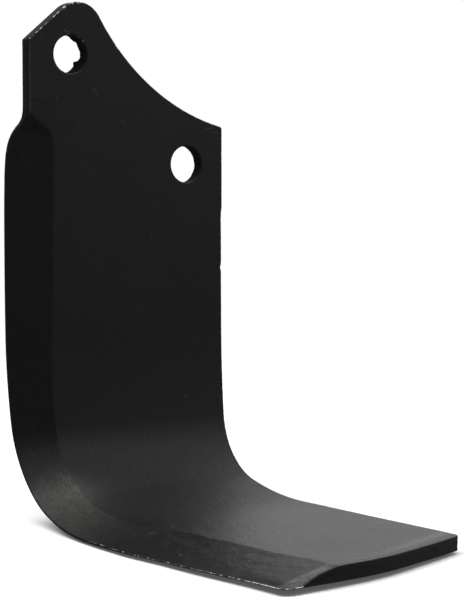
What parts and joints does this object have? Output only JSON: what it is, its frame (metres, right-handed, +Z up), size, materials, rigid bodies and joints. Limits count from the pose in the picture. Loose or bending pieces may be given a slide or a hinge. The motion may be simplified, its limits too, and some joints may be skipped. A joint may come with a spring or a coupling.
{
  "type": "rotary tiller blade",
  "caption": "Bent steel tilling blade: flat leg with rounded tang and bolt holes, wide bend, flat foot, and a forged bevel along one edge down to a thin cutting land.",
  "frame": {"origin": "centre of the upper bolt hole on the clamping (back) face of the leg", "axes": "+Z up the leg towards the tang; the leg's front face looks to -Y and the foot runs out to -Y; the bevelled cutting side is -X"},
  "size_m": [0.0878, 0.1461, 0.1762],
  "materials": {
    "black_paint": "satin"
  },
  "bodies": {
    "root": {"blade": "black_paint"}
  },
  "joints": []
}
